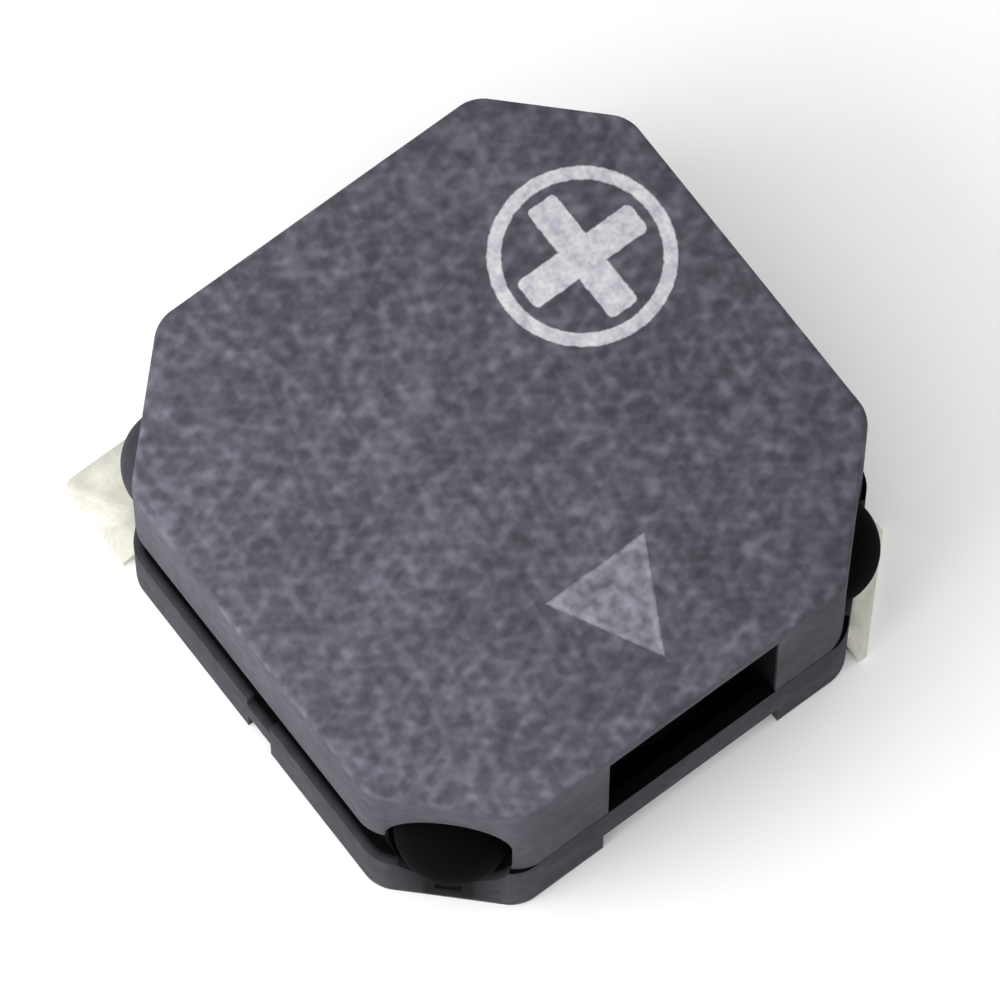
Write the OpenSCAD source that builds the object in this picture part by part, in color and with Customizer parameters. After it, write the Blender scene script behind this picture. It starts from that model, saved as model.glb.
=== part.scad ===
// Surface-mount magnetic buzzer with a sound port in its side.
// Origin: middle of the footprint, on the plane that the solder pads rest on.
// +Z is up, and the sound port looks along -Y.

/* [Case] */
// Width of the case, across the sound port
case_w = 8.5; // [7.6:0.1:12]
// Depth of the case, from the port to the back
case_d = 8.5; // [7.6:0.1:12]
// Height from the solder pads to the top face
case_h = 4; // [3.3:0.1:6]
// Leg of the cover's 45 degree cut at the near left and far right corners
corner_cut = 1.5; // [1.4:0.05:1.7]
// Leg of the cover's cut at the near right and far left corners
side_cut = 1.75; // [1.5:0.05:1.9]
// Leg of the base's cut at the near left and far right corners
base_cut = 1.4; // [1.3:0.05:1.5]
// Leg of the base's cut at the near right and far left corners
base_side_cut = 1.65; // [1.5:0.05:1.75]
// Thinnest wall beside the round chamber
wall_t = 0.55; // [0.45:0.05:0.75]
// Thickness of the cover above the chamber
roof_t = 0.3; // [0.25:0.05:0.5]
// Thickness of the base below the chamber, with its gap to the board
floor_z = 0.75; // [0.7:0.05:0.9]
// Height of the joint between the base and the cover
split_z = 1.55; // [1.35:0.05:1.8]
// Bevel along the top edge of the cover
top_bevel = 0.1; // [0.05:0.01:0.15]

/* [Openings and recesses] */
// Width of the sound port
port_w = 2.8; // [2:0.1:3.4]
// Height of the shadow gap above the joint, at the back and on the right
seam_h = 0.12; // [0.06:0.02:0.2]
// Depth of the shadow gap
seam_in = 0.2; // [0.1:0.05:0.3]
// Width of the round-ended scoop in each corner of the case
scoop_w = 1.7; // [1.4:0.05:1.75]
// Depth of the scoops at the near left and far right corners
scoop_in = 0.55; // [0.3:0.05:0.6]
// Depth of the scoops at the other two corners
side_scoop_in = 0.4; // [0.3:0.05:0.45]
// Height of the lowest point of each scoop
scoop_z = 0.9; // [0.8:0.05:1.1]
// Amount that the round lug in each scoop stands out from its corner of the base
lug_out = 0.3; // [0.15:0.05:0.4]
// Gap between each lug and the cover's scoop round it
lug_gap = 0.05; // [0.03:0.01:0.1]
// Plastic left above each scoop
scoop_roof = 0.75; // [0.6:0.05:0.8]
// Height of the lower edge of the long recess in the left side
recess_z = 1.25; // [1.1:0.05:1.3]
// Height of the long recess itself
recess_h = 1.1; // [0.8:0.05:1.3]
// Depth of the long recess
recess_in = 0.3; // [0.15:0.01:0.3]

/* [Solder pads and lead frame] */
// Side of each square solder pad
pad_w = 1.4; // [1.3:0.05:1.6]
// Cut on the inner corner of each pad
pad_cut = 0.35; // [0.2:0.05:0.5]
// Radius on the outer corner of each pad
pad_r = 0.1; // [0.05:0.01:0.2]
// Thickness of the lead frame sheet
sheet_t = 0.15; // [0.1:0.01:0.18]
// Gap between the base and the board that the pads hold open
standoff = 0.05; // [0.02:0.01:0.08]
// Height of the buried arms of the lead frame
arm_z = 0.25; // [0.2:0.01:0.3]
// Amount that the trimmed pad at the near right stands out from its corner
right_trim = 0.28; // [0.1:0.02:0.36]
// The same for the trimmed pad at the near left, which stops short of its corner
left_trim = -0.1; // [-0.2:0.02:0.3]
// Distance of each wire tongue's middle inside the chamber wall
tongue_in = 0.92; // [0.8:0.02:1]
// Radius of the access hole below each wire tongue
access_r = 0.42; // [0.3:0.02:0.45]

/* [Magnet system] */
// Thickness of the yoke plate
yoke_t = 0.4; // [0.3:0.05:0.5]
// Radius of the pole core
core_r = 0.75; // [0.6:0.05:0.85]
// Length of the pole core above the yoke plate
core_h = 1.2; // [1.15:0.05:1.5]
// Height of the coil winding
coil_h = 1; // [0.8:0.05:1.05]
// Space round the coil, where its leads run down
coil_space = 0.5; // [0.4:0.05:0.7]
// Radius of the enamelled wire at the coil's ends
wire_r = 0.05; // [0.03:0.01:0.06]
// Height of the ring magnet
magnet_h = 0.9; // [0.7:0.05:1]
// Radial width of the ring magnet
magnet_w = 0.85; // [0.6:0.05:0.9]

/* [Diaphragm] */
// Radial width of the ring that carries the diaphragm
seat_w = 0.45; // [0.4:0.01:0.5]
// Air gap between the pole core and the diaphragm
air_gap = 0.1; // [0.06:0.01:0.2]
// Thickness of the diaphragm
diaphragm_t = 0.05; // [0.03:0.01:0.08]
// Radius of the armature disc on the diaphragm
disc_r = 1.6; // [1.2:0.1:2]
// Thickness of the armature disc
disc_t = 0.2; // [0.1:0.05:0.3]

/* [Clearances] */
// Radial clearance of the yoke plate and the ring in the chamber
chamber_fit = 0.05; // [0.02:0.01:0.08]
// Clearance between the magnet and the ring round it
magnet_fit = 0.05; // [0.02:0.01:0.08]
// Radial clearance of the diaphragm in its seat
seat_fit = 0.05; // [0.02:0.01:0.06]
// Radial clearance of the core in the yoke plate
core_fit = 0.01; // [0.005:0.005:0.02]
// Radial clearance of the winding round the core
coil_fit = 0.1; // [0.05:0.01:0.15]

/* [Hidden] */
$fn = 64;

eps = 0.02;                                    // overshoot of a cut past a face
hw = case_w/2;
hd = case_d/2;
reach = case_w + case_d;                       // longer than any cut needs to be
chamber_r = min(hw, hd) - wall_t;
ceiling_z = case_h - roof_t;

// lead frame
arm_top = arm_z + sheet_t;
arm_w = 0.25;                                  // width of the arms behind the tabs
arm_in = 0.3;                                  // arms lie this far inside the case
tab_w = 0.9;                                   // width of each sheared tab
tab_in = 0.42;                                 // depth of each tab under the base
tab_mid = 0.92;                                // tabs' middles from the part's centre
riser_w = 0.5;                                 // width of each bend from pad to arm
side_arm_x = hw - 0.85;                        // inner edge of the arm along the side
side_arm_w = 0.4;
tongue_x = chamber_r - tongue_in;
tongue_r = 0.46;
tongue_w = 0.5;

// openings round the tabs
tab_gap = 0.02;                                // gap between a tab and its window
lip_t = 0.2;                                   // thin lip of the base below the port
notch_w = 2.95;                                // shallow notch below the port
notch_in = 0.15;
notch_h = 0.6;
slot_w = 3;                                    // slot at the back of the base
slot_in = 0.5;
slot_deep = 0.6;
bridge_in = 0.3;                               // moulded bridge between the back tabs

// scoops, and the lugs of the base in them
arch_z = case_h - scoop_roof - scoop_w/2;      // middle of a scoop's upper round
bowl_z = min(scoop_z + scoop_w/2, arch_z - eps);
lug_r = scoop_w/2 - lug_gap;
lug_root = 0.1;                                // the lug's depth in the wall behind it

// small notches of the base
corner_notch_w = 0.36;
corner_notch_in = 0.35;
corner_notch_z = 0.4;
side_notch_w = 0.5;
side_notch_y = -0.5;
side_notch_in = 0.08;
side_notch_h = 0.5;

// wire joints
pocket_r = 0.5;
lead_z = arm_top + 0.13;                       // height of the lead over its tongue
lead_start_z = 0.2;                            // height above the yoke where it leaves the coil
lead_bend = 0.12;                              // radius of the lead's bends
lead_gap = 0.03;                               // gap between the lead and its groove
lead_end = 0.16;                               // the lead stops this far short of the hole
groove_w = 0.3;
joint_r = 0.36;
joint_h = 0.26;
rivet_r = 0.18;                                // solder that filled the hole in a tongue
bead_r = 0.3;
bead_h = 0.14;

// magnet system
yoke_r = chamber_r - chamber_fit;
yoke_z = floor_z + yoke_t;
core_top = yoke_z + core_h;
seat_z = core_top + air_gap;
seat_lip_h = 0.15;
seat_lip_w = 0.15;
ring_inner_r = yoke_r - seat_w;
magnet_r = ring_inner_r - magnet_fit;
coil_r = magnet_r - magnet_w - coil_space;
lead_x = coil_r + coil_space/2;

// moulding marks under the base
tongue_mark_r = 0.8;
tongue_mark_y = 2.8;
mark_depth = 0.03;
number_pos = [2.65, -1.6];
number_r = 0.6;

plastic = [0.25, 0.25, 0.28];
tin = [0.82, 0.82, 0.76];

// ---------- shared shapes ----------

// Outline of the case. The two legs belong to the two pairs of opposite corners
module octagon(leg, side_leg) {
    polygon([[-hw + leg, -hd], [hw - side_leg, -hd], [hw, -hd + side_leg], [hw, hd - leg],
             [hw - leg, hd], [-hw + side_leg, hd], [-hw, hd - side_leg], [-hw, -hd + leg]]);
}

// Distance between two opposite corner faces that are cut to the given leg
function across_corners(leg) = (case_w + case_d - 2*leg)/sqrt(2);

// Long block with its two upper edges bevelled, running along Y
module bevelled_slab(span, z0, z1) {
    rotate([90, 0, 0])
        linear_extrude(reach, center = true)
            polygon([[-span/2, z0], [span/2, z0], [span/2, z1 - top_bevel],
                     [span/2 - top_bevel, z1], [-span/2 + top_bevel, z1],
                     [-span/2, z1 - top_bevel]]);
}

module block(x0, x1, y0, y1, z0, z1) {
    translate([x0, y0, z0]) cube([x1 - x0, y1 - y0, z1 - z0]);
}

// Puts a shape on the corner face at sx, sy that is cut to the given leg: the shape's X
// runs along the face and its -Y points outwards
module on_corner(sx, sy, leg) {
    translate([sx*(hw - leg/2), sy*(hd - leg/2), 0])
        rotate([0, 0, atan2(sy, sx) + 90])
            children();
}

module on_near_and_far() {
    for (side = [-1, 1]) on_corner(side, side, base_cut) children();
}

module on_side_corners() {
    for (side = [-1, 1]) on_corner(side, -side, base_side_cut) children();
}

module ring(r_out, r_in, z0, z1) {
    difference() {
        translate([0, 0, z0]) cylinder(r = r_out, h = z1 - z0);
        translate([0, 0, z0 - eps]) cylinder(r = r_in, h = z1 - z0 + 2*eps);
    }
}

// ---------- moulded case ----------

module scoop(deep) {
    translate([0, deep, 0]) rotate([90, 0, 0]) linear_extrude(2*deep) {
        translate([-scoop_w/2, bowl_z]) square([scoop_w, arch_z - bowl_z]);
        translate([0, arch_z]) circle(r = scoop_w/2);
        translate([0, bowl_z]) circle(r = scoop_w/2);
    }
}

module side_recess() {
    block(-hw - eps, -hw + recess_in, -hd - eps, hd + eps, recess_z, recess_z + recess_h);
}

// Way in from the side to the chamber, above the given height
module port(z0) {
    block(-port_w/2, port_w/2, -hd - eps, -chamber_r/2, z0, ceiling_z);
}

module seam_gap() {
    block(-reach/2, reach/2, hd - seam_in, hd + eps, split_z - eps, split_z + seam_h);
    block(hw - seam_in, hw + eps, -hd + side_cut, reach/2, split_z - eps, split_z + seam_h);
}

module cover() color(plastic) {
    difference() {
        intersection() {
            bevelled_slab(case_w, split_z, case_h);
            rotate([0, 0, 90]) bevelled_slab(case_d, split_z, case_h);
            rotate([0, 0, 45]) bevelled_slab(across_corners(corner_cut), split_z, case_h);
            rotate([0, 0, -45]) bevelled_slab(across_corners(side_cut), split_z, case_h);
        }
        translate([0, 0, split_z - eps]) cylinder(r = chamber_r, h = ceiling_z - split_z + eps);
        port(split_z - eps);
        side_recess();
        on_near_and_far() scoop(scoop_in);
        on_side_corners() scoop(side_scoop_in);
        seam_gap();
    }
}

// Narrow notch in a corner of the base, below the scoop
module corner_notch() {
    block(-corner_notch_w/2, corner_notch_w/2, -eps, corner_notch_in,
          corner_notch_z, bowl_z);
}

// Notches in the left side of the base, below the long recess
module side_notches() {
    block(-hw - eps, -hw + side_notch_in, side_notch_y, side_notch_y + side_notch_w,
          standoff - eps, side_notch_h);
    block(-hw - eps, -hw + recess_in, side_notch_y, side_notch_y + side_notch_w,
          recess_z - side_notch_h/2, recess_z + eps);
}

// Access hole, solder pocket and wire groove of the wire tongue at +X
module wire_pocket() {
    translate([tongue_x, 0, arm_top]) cylinder(r = pocket_r, h = floor_z - arm_top + eps);
    translate([tongue_x, 0, standoff - eps]) cylinder(r = access_r, h = arm_z - standoff + eps);
    block(lead_x - groove_w/2, tongue_x, -groove_w/2, groove_w/2,
          lead_z - wire_r - lead_gap, floor_z + eps);
}

module tab_openings() {
    block(-notch_w/2, notch_w/2, -hd - eps, -hd + notch_in, standoff - eps, notch_h);
    for (sx = [-1, 1])
        block(sx*tab_mid - tab_w/2 - tab_gap, sx*tab_mid + tab_w/2 + tab_gap,
              -hd, -hd + notch_in + tab_in, standoff - eps, arm_z);
    block(-slot_w/2, slot_w/2, hd - slot_in, hd + eps, standoff - eps, arm_z);
    block(tab_w/2 - tab_mid, tab_mid - tab_w/2, hd - slot_in, hd - bridge_in,
          standoff - eps, slot_deep);
}

module mould_marks() {
    translate([0, 0, standoff - eps]) linear_extrude(mark_depth + eps) {
        translate([0, tongue_mark_y]) circle(r = tongue_mark_r);
        translate([-tongue_mark_r, tongue_mark_y])
            square([2*tongue_mark_r, hd - slot_in - tongue_mark_y + eps]);
        translate(number_pos) circle(r = number_r);
    }
}

// Half-round lug that grows from the wall behind a scoop and reaches into the cover's half
module corner_lug(deep) {
    intersection() {
        translate([0, lug_r - lug_out, bowl_z]) sphere(r = lug_r);
        union() {
            block(-scoop_w/2, scoop_w/2, -lug_r, deep + lug_root,
                  bowl_z - scoop_w/2, split_z - lug_gap);
            block(-scoop_w/2, scoop_w/2, -lug_r, deep - lug_gap, bowl_z - scoop_w/2, case_h);
        }
    }
}

module base_shell() {
    difference() {
        translate([0, 0, standoff])
            linear_extrude(split_z - standoff) octagon(base_cut, base_side_cut);
        translate([0, 0, floor_z]) cylinder(r = chamber_r, h = split_z);
        wire_pocket();
        mirror([1, 0, 0]) wire_pocket();
        translate([0, lip_t + eps, 0]) port(floor_z);
        side_recess();
        on_near_and_far() {
            scoop(scoop_in);
            corner_notch();
        }
        on_side_corners() scoop(side_scoop_in);
        side_notches();
        tab_openings();
        mould_marks();
        terminal_plus();
        terminal_minus();
        translate([-tongue_x, 0, arm_z]) cylinder(r = rivet_r + eps, h = sheet_t);
        spare_pad_left();
        spare_pad_right();
    }
}

module base() color(plastic) {
    union() {
        base_shell();
        on_near_and_far() corner_lug(scoop_in);
        on_side_corners() corner_lug(side_scoop_in);
    }
}

// ---------- lead frame ----------
// Each piece is drawn for the corner at +X +Y and mirrored to its own corner

module pad() {
    inner = pad_w - pad_cut;
    linear_extrude(sheet_t) {
        difference() {
            translate([hw - pad_w, hd - pad_w]) square(pad_w);
            translate([hw - pad_r, hd - pad_r]) square(pad_r + eps);
            polygon([[hw - pad_w - eps, hd - pad_w - eps], [hw - inner + eps, hd - pad_w - eps],
                     [hw - pad_w - eps, hd - inner + eps]]);
        }
        translate([hw - pad_r, hd - pad_r]) circle(r = pad_r);
    }
}

// Bend and arm that run from the pad to a sheared tab near the middle
module tab_arm(inset) {
    arm_y = hd - arm_in;
    block(hw - pad_w, hw - pad_w + sheet_t, arm_y - riser_w, arm_y, 0, arm_top);
    block(tab_mid, hw - pad_w + sheet_t, arm_y - arm_w, arm_y, arm_z, arm_top);
    block(tab_mid - tab_w/2, tab_mid + tab_w/2, hd - inset - tab_in, hd - inset, arm_z, arm_top);
}

// Bend, arm and round tongue that the coil wire is soldered to
module wire_arm() {
    block(side_arm_x, side_arm_x + riser_w, hd - pad_w, hd - pad_w + sheet_t, 0, arm_top);
    block(side_arm_x, side_arm_x + side_arm_w, -tongue_w/2, hd - pad_w + sheet_t, arm_z, arm_top);
    block(tongue_x, side_arm_x + side_arm_w, -tongue_w/2, tongue_w/2, arm_z, arm_top);
    translate([tongue_x, 0, arm_z]) cylinder(r = tongue_r, h = sheet_t);
}

module terminal_plus() color(tin) {
    pad();
    tab_arm(0);
    wire_arm();
}

module terminal_minus() color(tin) mirror([1, 0, 0]) {
    difference() {
        union() {
            pad();
            tab_arm(0);
            wire_arm();
        }
        translate([tongue_x, 0, arm_z - eps]) cylinder(r = rivet_r, h = sheet_t + 2*eps);
    }
}

// Pad trimmed off along its corner, the given distance outside the base's cut
module spare_pad(leg, stands_out) difference() {
    union() {
        pad();
        tab_arm(notch_in);
    }
    on_corner(1, 1, leg) block(-reach, reach, -reach, -stands_out, -eps, arm_top + eps);
}

module spare_pad_left() color(tin) rotate([0, 0, 180]) spare_pad(base_cut, left_trim);

module spare_pad_right() color(tin) mirror([0, 1, 0]) spare_pad(base_side_cut, right_trim);

// ---------- magnet system ----------

module yoke_plate() color([0.55, 0.55, 0.57]) {
    slot_x = groove_w/2;
    difference() {
        ring(yoke_r, core_r + core_fit, floor_z, yoke_z);
        for (sx = [-1, 1])
            block(sx*lead_x - slot_x, sx*lead_x + slot_x, -slot_x, slot_x,
                  floor_z - eps, yoke_z + eps);
    }
}

module pole_core() color([0.6, 0.6, 0.62]) {
    translate([0, 0, floor_z]) cylinder(r = core_r, h = core_top - floor_z);
}

module coil() color([0.72, 0.38, 0.16]) {
    ring(coil_r, core_r + coil_fit, yoke_z, yoke_z + coil_h);
}

// Enamelled wire from the coil, down through the yoke plate and out to its tongue
module coil_lead() {
    bend = lead_bend;
    start_z = yoke_z + lead_start_z;
    end_x = tongue_x - lead_end;
    translate([coil_r, 0, start_z]) rotate([0, 90, 0])
        cylinder(r = wire_r, h = lead_x - bend - coil_r);
    translate([lead_x - bend, 0, start_z - bend]) rotate([90, 0, 0])
        rotate_extrude(angle = 90) translate([bend, 0]) circle(r = wire_r);
    translate([lead_x, 0, lead_z + bend]) cylinder(r = wire_r, h = start_z - lead_z - 2*bend);
    translate([lead_x + bend, 0, lead_z + bend]) rotate([90, 0, 0])
        rotate([0, 0, 180]) rotate_extrude(angle = 90) translate([bend, 0]) circle(r = wire_r);
    translate([lead_x + bend, 0, lead_z]) rotate([0, 90, 0])
        cylinder(r = wire_r, h = end_x - lead_x - bend);
}

module coil_lead_plus() color([0.72, 0.38, 0.16]) coil_lead();

module coil_lead_minus() color([0.72, 0.38, 0.16]) mirror([1, 0, 0]) coil_lead();

// Cap of solder: the part of a ball above the plane z = 0
module solder_cap(r, h) {
    ball_r = (r*r + h*h)/(2*h);
    intersection() {
        translate([0, 0, h - ball_r]) sphere(r = ball_r);
        translate([-r, -r, 0]) cube([2*r, 2*r, h + eps]);
    }
}

module solder_joint_plus() color(tin) difference() {
    translate([tongue_x, 0, arm_top]) solder_cap(joint_r, joint_h);
    coil_lead();
}

module solder_joint_minus() color(tin) mirror([1, 0, 0]) {
    difference() {
        translate([tongue_x, 0, arm_top]) solder_cap(joint_r, joint_h);
        coil_lead();
    }
    translate([tongue_x, 0, arm_z]) cylinder(r = rivet_r, h = sheet_t);
    translate([tongue_x, 0, arm_z]) mirror([0, 0, 1]) solder_cap(bead_r, bead_h);
}

module ring_magnet() color([0.35, 0.35, 0.37]) {
    ring(magnet_r, magnet_r - magnet_w, yoke_z, yoke_z + magnet_h);
}

module support_ring() color([0.75, 0.65, 0.4]) difference() {
    ring(yoke_r, ring_inner_r, yoke_z, seat_z + seat_lip_h);
    translate([0, 0, seat_z]) cylinder(r = yoke_r - seat_lip_w, h = seat_lip_h + eps);
}

module diaphragm() color([0.8, 0.8, 0.82]) {
    translate([0, 0, seat_z])
        cylinder(r = yoke_r - seat_lip_w - seat_fit, h = diaphragm_t);
}

module armature_disc() color([0.6, 0.6, 0.62]) {
    translate([0, 0, seat_z + diaphragm_t]) cylinder(r = disc_r, h = disc_t);
}

cover();
base();
terminal_plus();
terminal_minus();
spare_pad_left();
spare_pad_right();
yoke_plate();
pole_core();
coil();
coil_lead_plus();
coil_lead_minus();
solder_joint_plus();
solder_joint_minus();
ring_magnet();
support_ring();
diaphragm();
armature_disc();
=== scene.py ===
import math

import bmesh
import bpy
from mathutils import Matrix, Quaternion, Vector


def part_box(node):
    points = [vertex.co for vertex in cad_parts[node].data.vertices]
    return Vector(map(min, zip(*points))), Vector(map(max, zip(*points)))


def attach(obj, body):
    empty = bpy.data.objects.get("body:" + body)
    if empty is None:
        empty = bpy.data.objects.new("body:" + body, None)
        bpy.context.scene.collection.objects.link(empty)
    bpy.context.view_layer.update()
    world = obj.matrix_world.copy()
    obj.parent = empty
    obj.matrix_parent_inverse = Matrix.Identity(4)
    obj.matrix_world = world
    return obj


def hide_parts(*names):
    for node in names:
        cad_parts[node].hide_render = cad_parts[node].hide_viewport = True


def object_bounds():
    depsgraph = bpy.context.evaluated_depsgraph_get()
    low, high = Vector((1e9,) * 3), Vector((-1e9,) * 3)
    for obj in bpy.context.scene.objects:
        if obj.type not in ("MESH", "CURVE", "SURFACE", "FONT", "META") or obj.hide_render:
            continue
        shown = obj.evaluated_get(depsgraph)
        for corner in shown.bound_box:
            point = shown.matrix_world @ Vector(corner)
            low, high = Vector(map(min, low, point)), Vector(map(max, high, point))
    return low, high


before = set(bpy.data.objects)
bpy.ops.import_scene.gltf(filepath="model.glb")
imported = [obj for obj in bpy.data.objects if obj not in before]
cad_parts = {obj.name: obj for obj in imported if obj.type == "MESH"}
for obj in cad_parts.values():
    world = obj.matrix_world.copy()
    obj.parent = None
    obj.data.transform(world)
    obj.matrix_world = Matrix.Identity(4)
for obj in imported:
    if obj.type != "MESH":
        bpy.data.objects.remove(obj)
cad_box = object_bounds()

# Surface-mount magnetic buzzer. Pieces are modelled on the bench in millimetres and then
# reduced to metres, so that merge and bevel distances suit their small features.
MM = 0.001


def corners(node):
    """The lowest and highest corner of a frame part, in millimetres."""
    low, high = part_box(node)
    return low / MM, high / MM


cover_low, cover_high = corners("cover")
base_low, _ = corners("base")
yoke_low, yoke_high = corners("yoke_plate")
coil_low, coil_high = corners("coil")
_, tongue_high = corners("terminal_plus")

# ---- case sizes, in millimetres ----
HALF_W = cover_high.x
HALF_D = cover_high.y
TOP = cover_high.z
SPLIT = cover_low.z
UNDERSIDE = base_low.z
FLOOR = yoke_low.z
CORNER_CUT = 1.5            # cover, near left and far right
SIDE_CUT = 1.75             # cover, near right and far left
BASE_CUT = 1.4              # base, near left and far right
BASE_SIDE_CUT = 1.65        # base, near right and far left
YOKE_GAP = 0.05
CHAMBER_R = yoke_high.x + YOKE_GAP
ROOF = 0.3
CEILING = TOP - ROOF
PORT_W = 2.8
LIP = 0.2                   # rim that the base keeps in front of the port
SEAM_H, SEAM_IN = 0.12, 0.2         # groove along the joint on the two far sides
CORNER_R = 0.2              # rounding of the upright edges
TOP_EDGE = 0.09             # rounding of the edge round the cover's top
COVER_EDGE, BASE_EDGE = 0.03, 0.022         # rounding of all their other edges
SCOOP_W = 1.7
SCOOP_IN, SIDE_SCOOP_IN = 0.55, 0.4
SCOOP_DOWN, SCOOP_FOOT = 0.75, 0.9          # ends this far below the top, and starts here
ARCH_Z = TOP - SCOOP_DOWN - SCOOP_W / 2     # middle of a scoop's round head, in the cover
BOWL_Z = SCOOP_FOOT + SCOOP_W / 2           # middle of its round foot, in the base
LUG_GAP, LUG_OUT, LUG_ROOT = 0.05, 0.3, 0.1
LUG_R = SCOOP_W / 2 - LUG_GAP
RECESS_FOOT, RECESS_H, RECESS_IN = 1.25, 1.1, 0.3    # long recess in the left side

# ---- lead frame and the openings round it ----
SHEET = 0.15
SHEET_EDGE = 0.02           # rounding of the sheet's edges
PAD_W = 1.4
PAD_CUT = 0.35
PAD_R = 0.16
PAD_GAP = 0.015
RIGHT_TRIM, LEFT_TRIM = 0.28, -0.1  # how far the spare pads stand out of their corners
ARM_Z = 0.25
ARM_TOP = tongue_high.z
ARM_IN = 0.3
ARM_W = 0.25
RISER_W = 0.5
SIDE_ARM_IN = 0.85
SIDE_ARM_X = HALF_W - SIDE_ARM_IN
SIDE_ARM_W = 0.4
TAB_W = 0.9
TAB_IN = 0.42
TAB_X = 0.92
TAB_GAP = 0.02
TONGUE_IN = 0.92
TONGUE_X = CHAMBER_R - TONGUE_IN
TONGUE_R = 0.46
TONGUE_W = 0.5
RIVET_R, RIVET_PAST = 0.18, 0.02
ACCESS_R = 0.42
POCKET_R = 0.5
NOTCH_W = 2.95
NOTCH_IN = 0.15
NOTCH_H = 0.6
SLOT_W = 3.0
SLOT_IN = 0.5
SLOT_DEEP = 0.6
BRIDGE_IN = 0.3

# ---- small notches and mould marks of the base ----
CORNER_NOTCH = (0.36, 0.35, 0.4)            # width, depth, foot
SIDE_NOTCH = (-0.5, 0.0, 0.08, 0.5)         # from, to, depth, height
MARK_R, MARK_Y, MARK_DEEP = 0.8, 2.8, 0.03
NUMERAL_X, NUMERAL_Y, NUMERAL_R = 2.65, -1.6, 0.6
NUMERAL_SIZE, NUMERAL_RISE, NUMERAL_EDGE = 1.25, 0.02, 0.012

# ---- coil and solder ----
COIL_BORE_R, WIRE_R = 0.85, 0.05
LUMP_R, LUMP_FLAT = 0.34, 0.72              # its height is this share of its radius
BEAD_R, BEAD_SHAPE = 0.29, (1.0, 0.93, 0.48)
SOLDER_GRAIN, SOLDER_RELIEF = 0.16, 0.06

# ---- printed marks on the cover ----
RING_X, RING_Y = 2.54, 1.54
RING_OUT, RING_IN = 1.275, 1.085
CROSS_REACH, CROSS_HALF, CROSS_R = 0.94, 0.23, 0.08
ARROW_X, ARROW_HALF, ARROW_BACK, ARROW_TIP = 0.03, 0.82, -2.03, -3.55
INK_RAGGED, INK_DEPTH = 0.05, 0.02
RIM_IN, RIM_HALF, RIM_SOFT = 0.05, 0.03, 0.04       # paler line along the arrow's edge

FAR = 20.0      # longer than any cut needs to be
PAST = 0.05     # overshoot of a cutting tool past the face it opens
TINY = 1e-3
MERGE_WITHIN = 0.0005       # points that lie closer than this become one
FLAT_WITHIN = 0.4           # degrees: faces that turn by less become one
CHAMBER_SIDES, SCOOP_SIDES, RIVET_SIDES = 160, 96, 32


# =====================================================================
# Bench tools
# =====================================================================

def only(piece):
    bpy.ops.object.select_all(action="DESELECT")
    piece.select_set(True)
    bpy.context.view_layer.objects.active = piece


def settle(piece):
    only(piece)
    bpy.ops.object.transform_apply(location=True, rotation=True, scale=True)
    return piece


def block(x0, x1, y0, y1, z0, z1):
    """A square-edged block between three pairs of planes."""
    bpy.ops.object.select_all(action="DESELECT")
    bpy.ops.mesh.primitive_cube_add(
        size=1, location=((x0 + x1) / 2, (y0 + y1) / 2, (z0 + z1) / 2))
    piece = bpy.context.object
    piece.scale = (x1 - x0, y1 - y0, z1 - z0)
    return settle(piece)


def drum(radius, z0, z1, x=0.0, y=0.0, sides=96):
    """An upright round bar."""
    bpy.ops.object.select_all(action="DESELECT")
    bpy.ops.mesh.primitive_cylinder_add(
        vertices=sides, radius=radius, depth=z1 - z0, location=(x, y, (z0 + z1) / 2))
    return settle(bpy.context.object)


def edit(piece, kind="EDGE"):
    """Opens the piece for editing with nothing selected, and returns its mesh."""
    only(piece)
    bpy.ops.object.mode_set(mode="EDIT")
    bpy.ops.mesh.select_mode(type=kind)
    bpy.ops.mesh.select_all(action="DESELECT")
    return bmesh.from_edit_mesh(piece.data)


def shut():
    bpy.ops.object.mode_set(mode="OBJECT")


def open_edges(piece, test):
    """Opens the piece with the edges selected whose two ends pass the test."""
    mesh = edit(piece)
    for e in mesh.edges:
        e.select_set(test(e.verts[0].co, e.verts[1].co))
    bmesh.update_edit_mesh(piece.data)


def open_points(piece, test):
    mesh = edit(piece, "VERT")
    for v in mesh.verts:
        v.select_set(test(v.co))
    mesh.select_flush(True)
    bmesh.update_edit_mesh(piece.data)


def is_upright(a, b):
    return abs(a.z - b.z) > TINY and (a.xy - b.xy).length < TINY


def round_upright(piece, x, y, radius, segments):
    """Bevels the upright edge at x, y. One segment makes a flat cut."""
    open_edges(piece, lambda a, b: is_upright(a, b) and (a.xy - Vector((x, y))).length < TINY)
    bpy.ops.mesh.bevel(
        offset=radius, offset_type="OFFSET", segments=segments, affect="EDGES")
    shut()


def use(piece, kind, **settings):
    """Adds a modifier to the piece and applies it."""
    m = piece.modifiers.new(kind.lower(), kind)
    for key, value in settings.items():
        setattr(m, key, value)
    only(piece)
    bpy.ops.object.modifier_apply(modifier=m.name)


def combine(piece, operation, *tools):
    for tool in tools:
        use(piece, "BOOLEAN", operation=operation, solver="EXACT", object=tool)
        bpy.data.objects.remove(tool, do_unlink=True)
    return piece


def cut(piece, *tools):
    return combine(piece, "DIFFERENCE", *tools)


def weld(piece, *tools):
    return combine(piece, "UNION", *tools)


def tidy_faces(piece):
    """Merges doubled points, and flat faces that a cut has split."""
    edit(piece, "VERT")
    bpy.ops.mesh.select_all(action="SELECT")
    bpy.ops.mesh.remove_doubles(threshold=MERGE_WITHIN)
    bpy.ops.mesh.dissolve_limited(angle_limit=math.radians(FLAT_WITHIN))
    bpy.ops.mesh.normals_make_consistent(inside=False)
    shut()
    return piece


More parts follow.
